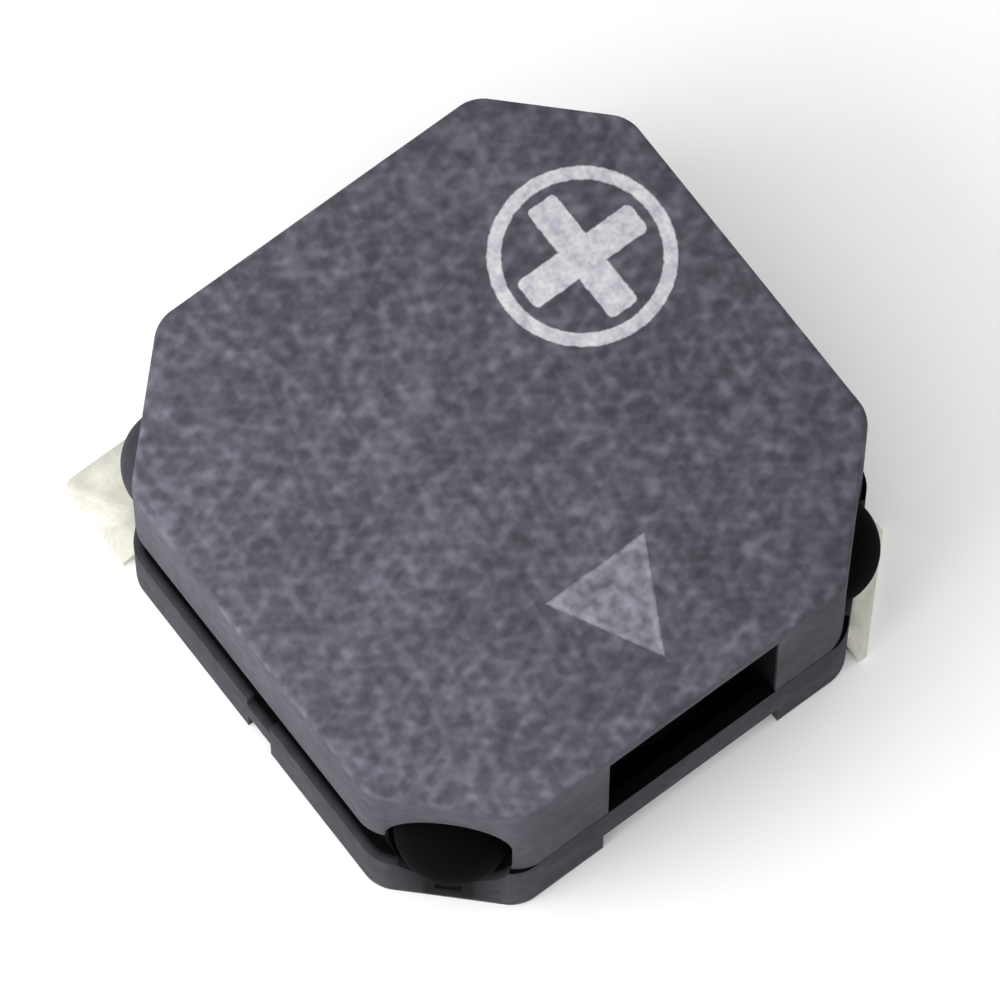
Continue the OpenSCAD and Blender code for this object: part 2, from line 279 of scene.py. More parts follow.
def soften(piece, width, segments=2, angle=35):
    """Rounds every edge that turns by more than the angle."""
    use(piece, "BEVEL", width=width, segments=segments, limit_method="ANGLE",
        angle_limit=math.radians(angle), use_clamp_overlap=True)
    return piece


def mirrored(piece, x=1, y=1):
    """Turns the piece into its mirror image, with its faces outwards again."""
    piece.scale = (x, y, 1)
    settle(piece)
    if x * y < 0:
        edit(piece, "FACE")
        bpy.ops.mesh.select_all(action="SELECT")
        bpy.ops.mesh.normals_make_consistent(inside=False)
        shut()
    return piece


def seat(piece, name, material, slot, *nodes, smooth=30):
    """Reduces a bench piece to its real size and puts it in place of its frame parts."""
    piece.scale = (MM,) * 3
    settle(piece)
    bpy.ops.object.shade_smooth_by_angle(angle=math.radians(smooth))
    piece.name = name
    piece.data.name = name
    piece.data.materials.clear()
    piece.data.materials.append(material)
    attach(piece, "root")
    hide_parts(*nodes)
    return piece


# =====================================================================
# Moulded case
# =====================================================================

CORNERS = ((-1, -1), (1, -1), (1, 1), (-1, 1))


def octagon_block(z0, z1, leg, side_leg):
    """The square case, with the cuts that its two pairs of opposite corners have."""
    piece = block(-HALF_W, HALF_W, -HALF_D, HALF_D, z0, z1)
    for sx, sy in CORNERS:
        round_upright(piece, sx * HALF_W, sy * HALF_D, leg if sx == sy else side_leg, 1)
    open_edges(piece, is_upright)
    bpy.ops.mesh.bevel(offset=CORNER_R, offset_type="OFFSET", segments=5, affect="EDGES")
    shut()
    return piece


def on_corner(tool, sx, sy, z=0.0):
    """Moves a tool drawn at the origin to a corner of the base: its -Y side looks outwards."""
    leg = BASE_CUT if sx == sy else BASE_SIDE_CUT
    tool.location = (sx * (HALF_W - leg / 2), sy * (HALF_D - leg / 2), z)
    tool.rotation_euler = (0, 0, math.atan2(sy, sx) + math.pi / 2)
    return settle(tool)


def scoop_depth(sx, sy):
    return SCOOP_IN if sx == sy else SIDE_SCOOP_IN


def scoop(sx, sy):
    """Round-ended cutting tool for one corner face."""
    bpy.ops.object.select_all(action="DESELECT")
    bpy.ops.mesh.primitive_cylinder_add(
        vertices=SCOOP_SIDES, radius=SCOOP_W / 2, depth=2 * scoop_depth(sx, sy),
        rotation=(math.pi / 2, 0, 0))
    tool = settle(bpy.context.object)
    open_points(tool, lambda p: p.z < -TINY)
    bpy.ops.transform.translate(value=(0, 0, BOWL_Z - ARCH_Z))
    shut()
    return on_corner(tool, sx, sy, ARCH_Z)


def side_recess():
    """The long recess in the left side, across the joint of the case."""
    return block(-HALF_W - PAST, -HALF_W + RECESS_IN, -FAR, FAR,
                 RECESS_FOOT, RECESS_FOOT + RECESS_H)


def make_cover(material):
    cover = octagon_block(SPLIT, TOP, CORNER_CUT, SIDE_CUT)
    open_edges(cover, lambda a, b: min(a.z, b.z) > TOP - TINY)
    bpy.ops.mesh.bevel(offset=TOP_EDGE, offset_type="OFFSET", segments=3, affect="EDGES")
    shut()
    cut(cover,
        drum(CHAMBER_R, SPLIT - PAST, CEILING, sides=CHAMBER_SIDES),
        block(-PORT_W / 2, PORT_W / 2, -HALF_D - PAST, -CHAMBER_R / 2, SPLIT - PAST, CEILING),
        side_recess(),
        block(-FAR, FAR, HALF_D - SEAM_IN, HALF_D + PAST, SPLIT - PAST, SPLIT + SEAM_H),
        block(HALF_W - SEAM_IN, HALF_W + PAST, -HALF_D + SIDE_CUT, FAR,
              SPLIT - PAST, SPLIT + SEAM_H),
        *[scoop(sx, sy) for sx, sy in CORNERS])
    soften(tidy_faces(cover), COVER_EDGE)
    return seat(cover, "moulded_cover", material, "cover_plastic", "cover")


def corner_notch(sx, sy):
    width, depth, foot = CORNER_NOTCH
    return on_corner(block(-width / 2, width / 2, -PAST, depth, foot, BOWL_Z), sx, sy)


def corner_lug(sx, sy):
    """Half-round lug that grows from the wall behind a scoop into the cover's half of it."""
    deep = scoop_depth(sx, sy)
    bpy.ops.object.select_all(action="DESELECT")
    bpy.ops.mesh.primitive_uv_sphere_add(
        segments=SCOOP_SIDES, ring_count=SCOOP_SIDES // 2, radius=LUG_R,
        location=(0, LUG_R - LUG_OUT, BOWL_Z))
    lug = settle(bpy.context.object)
    cut(lug,
        block(-FAR, FAR, deep - LUG_GAP, FAR, SPLIT - LUG_GAP, FAR),
        block(-FAR, FAR, deep + LUG_ROOT, FAR, -FAR, FAR))
    return on_corner(lug, sx, sy)


def side_notches():
    y0, y1, depth, height = SIDE_NOTCH
    return [
        block(-HALF_W - PAST, -HALF_W + depth, y0, y1, UNDERSIDE - PAST, height),
        block(-HALF_W - PAST, -HALF_W + RECESS_IN, y0, y1,
              RECESS_FOOT - height / 2, RECESS_FOOT + PAST)]


def corner_trim(leg, stands_out):
    """Cutting block for all that lies further out than this from the base's cut."""
    trim = block(stands_out, 2 * FAR, -2 * FAR, 2 * FAR, -FAR, FAR)
    trim.location = (HALF_W - leg / 2, HALF_D - leg / 2, 0)
    trim.rotation_euler = (0, 0, math.pi / 4)
    return settle(trim)


def pad_recess(sx, sy):
    """Room for a solder pad in the underside."""
    inner = HALF_W - PAD_W - PAD_GAP
    tool = block(inner, FAR, HALF_D - PAD_W - PAD_GAP, FAR, UNDERSIDE - PAST, SHEET)
    round_upright(tool, inner, HALF_D - PAD_W - PAD_GAP, PAD_CUT, 1)
    if sx < 0 and sy < 0:
        cut(tool, corner_trim(BASE_CUT, LEFT_TRIM + PAD_GAP))
    return mirrored(tool, sx, sy)


def wire_openings(side):
    """Access hole and solder pocket of one wire tongue."""
    x = side * TONGUE_X
    return [drum(ACCESS_R, UNDERSIDE - PAST, ARM_Z, x=x, sides=64),
            drum(POCKET_R, ARM_TOP, FLOOR + PAST, x=x, sides=64)]


def tab_openings():
    foot = UNDERSIDE - PAST
    tools = [
        block(-NOTCH_W / 2, NOTCH_W / 2, -HALF_D - PAST, -HALF_D + NOTCH_IN, foot, NOTCH_H),
        block(-SLOT_W / 2, SLOT_W / 2, HALF_D - SLOT_IN, HALF_D + PAST, foot, ARM_Z),
        block(TAB_W / 2 - TAB_X, TAB_X - TAB_W / 2, HALF_D - SLOT_IN, HALF_D - BRIDGE_IN,
              foot, SLOT_DEEP)]
    reach = TAB_W / 2 + TAB_GAP
    for x in (-TAB_X, TAB_X):
        tools.append(block(x - reach, x + reach, -HALF_D - PAST, -HALF_D + NOTCH_IN + TAB_IN,
                           foot, ARM_Z))
    return tools


def mould_mark():
    """The rounded tongue mark in front of the rear slot."""
    foot, roof = UNDERSIDE - PAST, UNDERSIDE + MARK_DEEP
    strip = block(-MARK_R, MARK_R, MARK_Y, HALF_D - SLOT_IN + PAST, foot, roof)
    return weld(drum(MARK_R, foot, roof, y=MARK_Y, sides=72), strip)


def numeral():
    """The raised numeral in its round recess, read from below with its top towards +X."""
    bpy.ops.object.select_all(action="DESELECT")
    bpy.ops.object.text_add(location=(NUMERAL_X, NUMERAL_Y, UNDERSIDE + MARK_DEEP))
    text = bpy.context.object
    text.data.body = "6"
    text.data.align_x = "CENTER"
    text.data.align_y = "CENTER"
    text.data.size = NUMERAL_SIZE
    text.data.extrude = NUMERAL_RISE
    text.data.bevel_depth = NUMERAL_EDGE
    text.data.resolution_u = 6
    text.rotation_mode = "QUATERNION"
    text.rotation_quaternion = Quaternion((0, math.sqrt(0.5), math.sqrt(0.5), 0))
    bpy.ops.object.convert(target="MESH")
    shape = settle(bpy.context.object)
    edit(shape, "VERT")
    bpy.ops.mesh.select_all(action="SELECT")
    bpy.ops.mesh.remove_doubles(threshold=TINY)
    bpy.ops.mesh.normals_make_consistent(inside=False)
    shut()
    return shape


def make_base(material):
    base = octagon_block(UNDERSIDE, SPLIT, BASE_CUT, BASE_SIDE_CUT)
    cut(base,
        drum(CHAMBER_R, FLOOR, SPLIT + PAST, sides=CHAMBER_SIDES),
        block(-PORT_W / 2, PORT_W / 2, -HALF_D + LIP, -CHAMBER_R / 2, FLOOR, SPLIT + PAST),
        side_recess(),
        *[scoop(sx, sy) for sx, sy in CORNERS],
        corner_notch(-1, -1), corner_notch(1, 1),
        *side_notches(),
        *[pad_recess(sx, sy) for sx, sy in CORNERS],
        *wire_openings(1), *wire_openings(-1),
        *tab_openings(),
        mould_mark(),
        drum(NUMERAL_R, UNDERSIDE - PAST, UNDERSIDE + MARK_DEEP, x=NUMERAL_X, y=NUMERAL_Y))
    soften(tidy_faces(base), BASE_EDGE)
    weld(base, numeral(), *[corner_lug(sx, sy) for sx, sy in CORNERS])
    return seat(base, "moulded_base", material, "base_plastic", "base")


# =====================================================================
# Lead frame: each piece is drawn for the corner at +X +Y, then mirrored
# =====================================================================

def pad_plate():
    """Square pad with a rounded outer corner and a cut inner one."""
    plate = block(HALF_W - PAD_W, HALF_W, HALF_D - PAD_W, HALF_D, 0, SHEET)
    round_upright(plate, HALF_W, HALF_D, PAD_R, 6)
    round_upright(plate, HALF_W - PAD_W, HALF_D - PAD_W, PAD_CUT, 1)
    return plate


def tab_arm(inset):
    """Bend and arm from the pad to the sheared tab."""
    arm_y = HALF_D - ARM_IN
    pad_x = HALF_W - PAD_W
    tab_y = HALF_D - inset
    return [
        block(pad_x, pad_x + SHEET, arm_y - RISER_W, arm_y, 0, ARM_TOP),
        block(TAB_X, pad_x + SHEET, arm_y - ARM_W, arm_y, ARM_Z, ARM_TOP),
        block(TAB_X - TAB_W / 2, TAB_X + TAB_W / 2, tab_y - TAB_IN, tab_y, ARM_Z, ARM_TOP)]


def wire_arm():
    """Bend, side arm and the round tongue that takes the coil wire."""
    pad_y = HALF_D - PAD_W
    far_x = SIDE_ARM_X + SIDE_ARM_W
    return [
        block(SIDE_ARM_X, SIDE_ARM_X + RISER_W, pad_y, pad_y + SHEET, 0, ARM_TOP),
        block(SIDE_ARM_X, far_x, -TONGUE_W / 2, pad_y + SHEET, ARM_Z, ARM_TOP),
        block(TONGUE_X, far_x, -TONGUE_W / 2, TONGUE_W / 2, ARM_Z, ARM_TOP),
        drum(TONGUE_R, ARM_Z, ARM_TOP, x=TONGUE_X, sides=48)]


def make_terminal(name, material, side):
    terminal = weld(pad_plate(), *tab_arm(0), *wire_arm())
    if side < 0:
        cut(terminal, drum(RIVET_R, ARM_Z - PAST, ARM_TOP + PAST, x=TONGUE_X,
                           sides=RIVET_SIDES))
    soften(tidy_faces(terminal), SHEET_EDGE)
    return seat(mirrored(terminal, x=side), name + "_sheet", material, "tinned_sheet", name)


def make_spare_pad(name, material, side, leg, stands_out):
    """A pad trimmed off along its corner, the given distance outside the base's cut."""
    spare = weld(pad_plate(), *tab_arm(NOTCH_IN))
    cut(spare, corner_trim(leg, stands_out))
    soften(tidy_faces(spare), SHEET_EDGE)
    return seat(mirrored(spare, x=side, y=-1), name + "_sheet", material, "tinned_sheet", name)


# =====================================================================
# Coil and solder
# =====================================================================

def make_coil(material):
    """A wound coil: a solid core of wire with its outermost turns lying round it."""
    outer = coil_high.x - WIRE_R
    turns = int((coil_high.z - coil_low.z) / (2 * WIRE_R))
    coil = drum(outer, coil_low.z, coil_high.z)
    cut(coil, drum(COIL_BORE_R, coil_low.z - PAST, coil_high.z + PAST))
    for i in range(turns):
        bpy.ops.object.select_all(action="DESELECT")
        bpy.ops.mesh.primitive_torus_add(
            major_segments=96, minor_segments=8, major_radius=outer, minor_radius=WIRE_R,
            location=(0, 0, coil_low.z + WIRE_R * (2 * i + 1)))
        turn = settle(bpy.context.object)
        only(coil)
        turn.select_set(True)
        bpy.ops.object.join()
    return seat(coil, "wound_coil", material, "copper_winding", "coil")


def make_solder(name, material, side):
    """A lump of solder on the tongue, and on the minus side the bead that went through."""
    bpy.ops.object.select_all(action="DESELECT")
    bpy.ops.mesh.primitive_ico_sphere_add(subdivisions=5, radius=LUMP_R)
    lump = bpy.context.object
    lump.scale = (1, 1, LUMP_FLAT)
    lump.location = (side * TONGUE_X, 0, ARM_TOP)
    settle(lump)
    open_points(lump, lambda p: p.z < ARM_TOP)
    bpy.ops.transform.resize(value=(1, 1, 0), center_override=(0, 0, ARM_TOP))
    shut()
    if side < 0:
        bpy.ops.object.select_all(action="DESELECT")
        bpy.ops.mesh.primitive_ico_sphere_add(subdivisions=5, radius=BEAD_R)
        bead = bpy.context.object
        bead.scale = BEAD_SHAPE
        bead.location = (side * TONGUE_X, 0, ARM_Z)
        weld(lump, drum(RIVET_R, ARM_Z - RIVET_PAST, ARM_TOP + RIVET_PAST, x=side * TONGUE_X,
                        sides=RIVET_SIDES),
             settle(bead))
    grain = bpy.data.textures.new(name + "_lumps", "CLOUDS")
    grain.noise_scale = SOLDER_GRAIN
    use(lump, "DISPLACE", texture=grain, texture_coords="LOCAL", strength=SOLDER_RELIEF,
        mid_level=0.5)
    return seat(lump, name + "_lump", material, "solder", name, smooth=60)


# =====================================================================
# Finishes
# =====================================================================

STREAK_PER_MM = (3.4, 7.5, 7.5)     # how closely streaks lie, along them and across them
STREAK_FLOOR, STREAK_STEEP = 0.44, 2.4
PLAIN = (1.0, 1.0, 1.0)     # a grey without any tint


def shade(level, tint=PLAIN):
    """A tinted grey as red, green, blue and alpha."""
    return tuple(level * t for t in tint) + (1.0,)


class Value:
    """A shader socket that Python's own sums work on."""

    def __init__(self, finish, socket):
        self.finish = finish
        self.socket = socket

    def math(self, operation, *others, clamp=False):
        terms = dict(enumerate((self,) + others))
        return self.finish.node("Math", {"operation": operation, "use_clamp": clamp}, terms)

    def __add__(self, other):
        return self.math("ADD", other)

    def __sub__(self, other):
        return self.math("SUBTRACT", other)

    def __mul__(self, other):
        return self.math("MULTIPLY", other)

    def __truediv__(self, other):
        return self.math("DIVIDE", other)

    def __pow__(self, other):
        return self.math("POWER", other)

    def __rsub__(self, other):
        return self.finish.node("Math", {"operation": "SUBTRACT"}, {0: other, 1: self})

    def __abs__(self):
        return self.math("ABSOLUTE")

    __radd__ = __add__
    __rmul__ = __mul__

    def low(self, other):
        return self.math("MINIMUM", other)

    def high(self, other):
        return self.math("MAXIMUM", other)

    def rounded_low(self, other, width):
        """The lower of two, eased where they come within the width of each other."""
        return self.math("SMOOTH_MIN", other, width)

    def held(self):
        """Kept between 0 and 1."""
        return self.math("ADD", 0.0, clamp=True)


class Finish:
    """A material under construction. Its patterns are laid out in millimetres."""

    def __init__(self, name):
        self.material = bpy.data.materials.new(name)
        self.material.use_nodes = True
        self.tree = self.material.node_tree
        self.tree.nodes.clear()
        metres = self.node("TexCoord", out="Object")
        self.place = self.node("VectorMath", {"operation": "SCALE"}, {0: metres, "Scale": 1 / MM})
        self.x, self.y, self.z = [self.node("SeparateXYZ", {}, {0: self.place}, out=i)
                                  for i in range(3)]

    def node(self, kind, settings=None, sockets=None, out=0):
        """Adds a node. Settings come first, then the values or links of its sockets."""
        made = self.tree.nodes.new("ShaderNode" + kind)
        for key, value in (settings or {}).items():
            setattr(made, key, value)
        for key, value in (sockets or {}).items():
            if isinstance(value, Value):
                self.tree.links.new(value.socket, made.inputs[key])
            else:
                made.inputs[key].default_value = value
        return Value(self, made.outputs[out]) if made.outputs else None

    def noise(self, scale, detail=2.0, rough=0.5, warp=0.0, at=None):
        """A cloudy pattern round 0.5, with this many patches to the millimetre."""
        return self.node("TexNoise", {"noise_dimensions": "3D"}, {
            "Vector": at or self.place, "Scale": scale, "Detail": detail,
            "Roughness": rough, "Distortion": warp})

    def moved(self, x, y, z):
        """The pattern's place, moved, so that two patterns of one kind differ."""
        return self.node("VectorMath", {"operation": "ADD"}, {0: self.place, 1: (x, y, z)})

    def streaks(self, turn, start):
        """Short level streaks that lie along one direction, from 0 between them to 1 on them."""
        turned = self.node("VectorRotate", {"rotation_type": "Z_AXIS"},
                           {"Vector": self.moved(*start), "Angle": math.radians(turn)})
        drawn = self.node("VectorMath", {"operation": "MULTIPLY"}, {0: turned, 1: STREAK_PER_MM})
        return ((self.noise(1.0, detail=0.0, at=drawn) - STREAK_FLOOR) * STREAK_STEEP).held()

    def blend(self, first, second, share):
        return self.node("Mix", {"data_type": "RGBA"}, {0: share, 6: first, 7: second}, out=2)

    def tones(self, dark, pale, share, tint=PLAIN):
        """One tint, from its dark tone to its pale one."""
        return self.blend(shade(dark, tint), shade(pale, tint), share)

    def surface(self, colour, roughness, relief=None, **fixed):
        """The finished shader. Relief is in millimetres; fixed sockets hold plain numbers."""
        sockets = {"Base Color": colour, "Roughness": roughness}
        if relief is not None:
            sockets["Normal"] = self.node(
                "Bump", {}, {"Strength": 1.0, "Distance": MM, "Height": relief})
        sockets.update({key.replace("_", " "): value for key, value in fixed.items()})
        shader = self.node("BsdfPrincipled", {}, sockets)
        self.node("OutputMaterial", {}, {"Surface": shader})
        return self.material


SLATE = (0.98, 0.96, 1.14)
BLUE_SLATE = (0.93, 0.95, 1.2)
TIN = (1.0, 0.985, 0.87)
BRIGHT = (1.0, 1.0, 1.02)
DARK_COPPER, PALE_COPPER = (0.42, 0.13, 0.04, 1.0), (0.72, 0.3, 0.12, 1.0)
FINE_RELIEF = 0.003         # height of a fine grain
RINGS_PER_MM = 90.0         # phase of the lathe's rings, in radians

# ---- painted light and shade: how the moulding's tone changes over its faces. A skin is a depth and its softness ----
# a face keeps its lit tone down to its skin's depth; deeper lies painted shade
COVER_SKIN, BASE_SKIN = (0.03, 0.02), (0.09, 0.05)
UNDERSIDE_SKIN, JOINT_DEEP = (0.05, 0.02), 0.02
UPRIGHT_EASE, TOP_EASE = 0.22, 0.16         # width over which the depth runs round an edge
# painted shade: the cover darkens towards its foot, and towards +X as if lit from -X
FOOT_FROM, FOOT_PAINTED_SHADE = 0.3, 0.24            # the cover darkens from here down
MIDDLE_SHARE, PAINTED_SHADE_PER_MM = 0.91, 0.02      # its tone in the middle, and its fall towards +X
# share the base's sides keep; the far left lug is painted lit at its own share
BASE_SHARE, FAR_LUG_LIT_SHARE = 0.88, 0.8
CORNER_FACE_FROM, CORNER_FACE_SOFT = 4.85, 0.14     # along a diagonal of the case
# painted shade on the corner faces under the lugs: its half width, softness and strength
UNDER_LUG_HALF, UNDER_LUG_SOFT, UNDER_LUG_PAINTED_SHADE = 0.6, 0.3, 0.9
# lugs past this reach are painted dark as shade
LUG_FROM, LUG_SKIN = 4.2, 0.03
FAR_LEFT_FROM = 5.9         # y less x: only the far left lug lies past this

# ---- patterns of the moulding: each one's share in its tone, then the tone's level and power ----
MOTTLE_SHARE, GRAIN_SHARE, CLOUD_SHARE, FIBRE_SHARE = 0.78, 0.15, 0.52, 0.5
TONE_LEVEL, TONE_POWER = 0.337, 1.5
STREAK_GAIN = 0.6
BROAD_FACE = (0.06, 0.03)   # depth and softness of the face that shows fibres
SIDES_PLAINER = 0.5         # share of the mottle and the grain that the other faces keep
MOTTLE_RELIEF, GRAIN_RELIEF, FIBRE_RELIEF = 0.007, 0.004, 0.005
CASE_ROUGHNESS, PALE_SMOOTHER = 0.6, 0.2
# painted shade: openings are painted near black, at this share of the dark tone
OPENING_SHADE, OPENING_RELIEF = 0.05, 0.1       # shares that the openings keep

# ---- the two inks: darkest and palest tone, how well they cover, and how pale they are over
# the mottle, the grain and the fibres, with the level of it ----
CROSS_INK, CROSS_COVER, CROSS_WEAR = (0.36, 0.6), 0.96, (1.3, 1.2, 0.3, 0.42)
ARROW_INK, ARROW_COVER, ARROW_WEAR = (0.095, 0.275), 0.95, (1.8, 0.4, 0.2, 0.36)
RIM_PALER = 0.4


def inside(distance, soft=0.012):
    """1 within an outline and 0 outside it, from the distance to it."""
    return (0.5 - distance / (2 * soft)).held()


def round_bar(along, across):
    """How far a point lies outside one bar of the cross, whose corners are rounded."""
    past_end = (along - (CROSS_REACH - CROSS_R)).high(0.0)
    past_side = (across - (CROSS_HALF - CROSS_R)).high(0.0)
    return (past_end * past_end + past_side * past_side) ** 0.5 - CROSS_R


def printed_marks(f):
    """How much of the cover's top is inked by the ringed cross, and by the arrow."""
    ragged = (f.noise(9.0, detail=3.0, rough=0.6) - 0.5) * INK_RAGGED
    x, y = f.x - RING_X, f.y - RING_Y
    reach = (x * x + y * y) ** 0.5
    ring = abs(reach - (RING_OUT + RING_IN) / 2) - (RING_OUT - RING_IN) / 2
    bars = round_bar(abs(x), abs(y)).low(round_bar(abs(y), abs(x)))
    plus = inside(ring.low(bars) + ragged)
    slope = ARROW_HALF / (ARROW_BACK - ARROW_TIP)
    flank = (abs(f.x - ARROW_X) - (f.y - ARROW_TIP) * slope) * math.cos(math.atan(slope))
    edge = flank.high(f.y - ARROW_BACK)
    arrow = inside(edge + ragged)
    rim = inside(abs(edge + RIM_IN) - RIM_HALF, RIM_SOFT)
    on_top = (f.z - (TOP - INK_DEPTH)).math("GREATER_THAN", 0.0)
    return plus * on_top, arrow * on_top, rim


def below_skin(f, near, side):
    """How deep a point lies under the faces of the case, with its two kinds of corner cut."""
    ax, ay = abs(f.x), abs(f.y)
    leg = side + (f.x * f.y).math("GREATER_THAN", 0.0) * (near - side)
    corner = (HALF_W + HALF_D - leg - ax - ay) * math.sqrt(0.5)
    return (HALF_W - ax).low(HALF_D - ay).rounded_low(corner, UPRIGHT_EASE)


def cover_painted_shade(f):
    """Painted light and shade on the cover: about 1 on its outer faces, less where painted shade
    falls at their foot and towards +X, and 0, full painted shade, in its openings."""
    depth, soft = COVER_SKIN
    towards_foot = (TOP - FOOT_FROM - f.z).held()
    below = below_skin(f, CORNER_CUT, SIDE_CUT).rounded_low(TOP - f.z, TOP_EASE)
    outside = inside(below - depth, soft)
    return outside * (1.0 - towards_foot * FOOT_PAINTED_SHADE) * (MIDDLE_SHARE - f.x * PAINTED_SHADE_PER_MM)


def base_painted_shade(f):
    """The same for the base. Its underside is paler; its lugs, the faces under them and its
    joint face carry painted shade, and the far left lug is painted lit.
    """
    depth, soft = BASE_SKIN
    sides = inside(below_skin(f, BASE_CUT, BASE_SIDE_CUT) - depth, soft) * BASE_SHARE
    along = (abs(f.x) - abs(f.y)) * math.sqrt(0.5)
    outwards = (abs(f.x) + abs(f.y)) * math.sqrt(0.5)
    from_lug = (along * along + (f.z - BOWL_Z) * (f.z - BOWL_Z)) ** 0.5 - LUG_R
    # painted shade on the corner face under each lug
    shade_under_lug = inside(CORNER_FACE_FROM - outwards, CORNER_FACE_SOFT) * inside(
        abs(along) - UNDER_LUG_HALF, UNDER_LUG_SOFT)
    sides = sides * (1.0 - shade_under_lug * UNDER_LUG_PAINTED_SHADE)
    lugs = inside(from_lug - LUG_SKIN) * (outwards - LUG_FROM).math("GREATER_THAN", 0.0)
    far_left = (f.y - f.x - FAR_LEFT_FROM).math("GREATER_THAN", 0.0)
    # painted shade on the lugs and on the joint face under the cover
    painted_dark = lugs.high(inside(SPLIT - JOINT_DEEP - f.z))
    depth, soft = UNDERSIDE_SKIN
    shown = (sides * (1.0 - painted_dark)).high(inside(f.z - UNDERSIDE - depth, soft))
    return shown.high(far_left * lugs * FAR_LUG_LIT_SHARE)


def wear(mottle, grain, fibre, shares):
    """How pale an ink is over the moulding's patterns."""
    of_mottle, of_grain, of_fibre, level = shares
    return (mottle - 0.5) * of_mottle + (grain - 0.5) * of_grain + fibre * of_fibre + level


def moulded_plastic(name, dark, light, lighting, level, gloss, marked=False):
    """Glass-filled moulding: a slate ground, with pale streaks where fibres lie in a broad
    face at the given level."""
    f = Finish(name)
    clouds = f.noise(0.8, detail=3.0, rough=0.6)
    mottle = f.noise(5.0, detail=1.0, rough=0.4, warp=0.3)
    grain = f.noise(14.0, detail=1.0, at=f.moved(4, 1, 8))
    streaks = f.streaks(35, (3, 7, 6)) + f.streaks(100, (9, 2, 5)) + f.streaks(160, (1, 8, 3))
    fibre = streaks * STREAK_GAIN
    depth, soft = BROAD_FACE
    broad = inside(abs(f.z - level) - depth, soft)
    fibre = fibre * broad
    patches = ((mottle - 0.5) * MOTTLE_SHARE + (grain - 0.5) * GRAIN_SHARE) * (
        broad * (1 - SIDES_PLAINER) + SIDES_PLAINER)
    tone = (patches + (clouds - 0.5) * CLOUD_SHARE + fibre * FIBRE_SHARE
            + TONE_LEVEL).held() ** TONE_POWER
    bluish = f.noise(0.9, at=f.moved(7, 7, 2))
    ground = f.blend(shade(dark, SLATE), shade(dark, BLUE_SLATE), bluish)
    crest = f.blend(shade(light, SLATE), shade(light, BLUE_SLATE), bluish)
    # painted light and shade: 1 where a face keeps its lit tone, falling to painted shade in
    # openings, hollows and lugs
    shown = lighting(f)
    colour = f.blend(shade(dark * OPENING_SHADE, SLATE), f.blend(ground, crest, tone), shown)
    relief = (mottle * MOTTLE_RELIEF + grain * GRAIN_RELIEF + fibre * FIBRE_RELIEF) * (
        shown + OPENING_RELIEF)
    roughness = (CASE_ROUGHNESS - (tone - 0.5) * PALE_SMOOTHER).high(1.0 - shown * 2.0)
    if marked:
        plus, arrow, rim = printed_marks(f)
        patchy = wear(mottle, grain, fibre, CROSS_WEAR).held()
        ink = f.blend(shade(CROSS_INK[0], SLATE), shade(CROSS_INK[1]), patchy)
        spots = (wear(mottle, grain, fibre, ARROW_WEAR) + rim * RIM_PALER).held()
        faint = f.tones(*ARROW_INK, spots, SLATE)
        colour = f.blend(f.blend(colour, faint, arrow * ARROW_COVER), ink, plus * CROSS_COVER)
    return f.surface(colour, roughness, relief, Specular_IOR_Level=gloss)


def tinned_sheet():
    """Matt tin plating with a cream cast, greyer in patches."""
    f = Finish("matt_tin")
    patches = f.noise(2.2, detail=4.0, rough=0.6, warp=0.4)
    grain = f.noise(24.0, detail=3.0, rough=0.6)
    tone = ((patches - 0.5) * 2.0 + 0.62 + (grain - 0.5) * 0.4).held()
    return f.surface(
        f.tones(dark=0.48, pale=0.76, share=tone, tint=TIN),
        roughness=0.55 - (tone - 0.5) * 0.15,
        relief=patches * 0.015 + grain * FINE_RELIEF, Metallic=0.55)


def rough_solder():
    f = Finish("dull_solder")
    lumps = f.noise(6.0, detail=3.0, rough=0.6, warp=0.5)
    grain = f.noise(30.0)
    return f.surface(
        f.tones(dark=0.4, pale=0.8, share=(lumps * 1.6 - 0.3).held(), tint=TIN),
        roughness=0.42 + grain * 0.2,
        relief=lumps * 0.02 + grain * FINE_RELIEF, Metallic=0.8)


def turned_metal(name, level, roughness):
    """Bright metal with fine rings from the lathe and a few dull patches."""
    f = Finish(name)
    reach = (f.x * f.x + f.y * f.y) ** 0.5
    rings = (reach * RINGS_PER_MM).math("SINE")
    dull = f.noise(1.4, detail=4.0, rough=0.6)
    return f.surface(
        f.tones(dark=level * 0.7, pale=level, share=(dull * 1.5 - 0.2).held(), tint=BRIGHT),
        roughness=roughness + (dull - 0.5) * 0.2,
        relief=rings * 0.0015, Metallic=1.0)


def enamelled_copper():
    f = Finish("enamelled_copper")
    clouds = f.noise(1.8, detail=3.0, rough=0.6)
    grain = f.noise(30.0, detail=1.0)
    return f.surface(
        f.blend(DARK_COPPER, PALE_COPPER, clouds),
        roughness=0.28 + grain * 0.1, relief=grain * 0.001,
        Metallic=0.9, Coat_Weight=0.6, Coat_Roughness=0.15)


def sintered_magnet():
    f = Finish("coated_magnet")
    pits = f.noise(18.0, detail=4.0, rough=0.7)
    clouds = f.noise(1.2, detail=3.0)
    return f.surface(
        f.tones(dark=0.09, pale=0.2, share=clouds),
        roughness=0.38 + pits * 0.2, relief=pits * 0.006, Metallic=0.7)


def ring_moulding():
    f = Finish("black_ring_moulding")
    grain = f.noise(15.0, detail=3.0)
    clouds = f.noise(0.8)
    return f.surface(
        f.tones(dark=0.012, pale=0.03, share=clouds, tint=SLATE),
        roughness=0.6 + (grain - 0.5) * 0.2, relief=grain * FINE_RELIEF)


# =====================================================================
# The buzzer
# =====================================================================

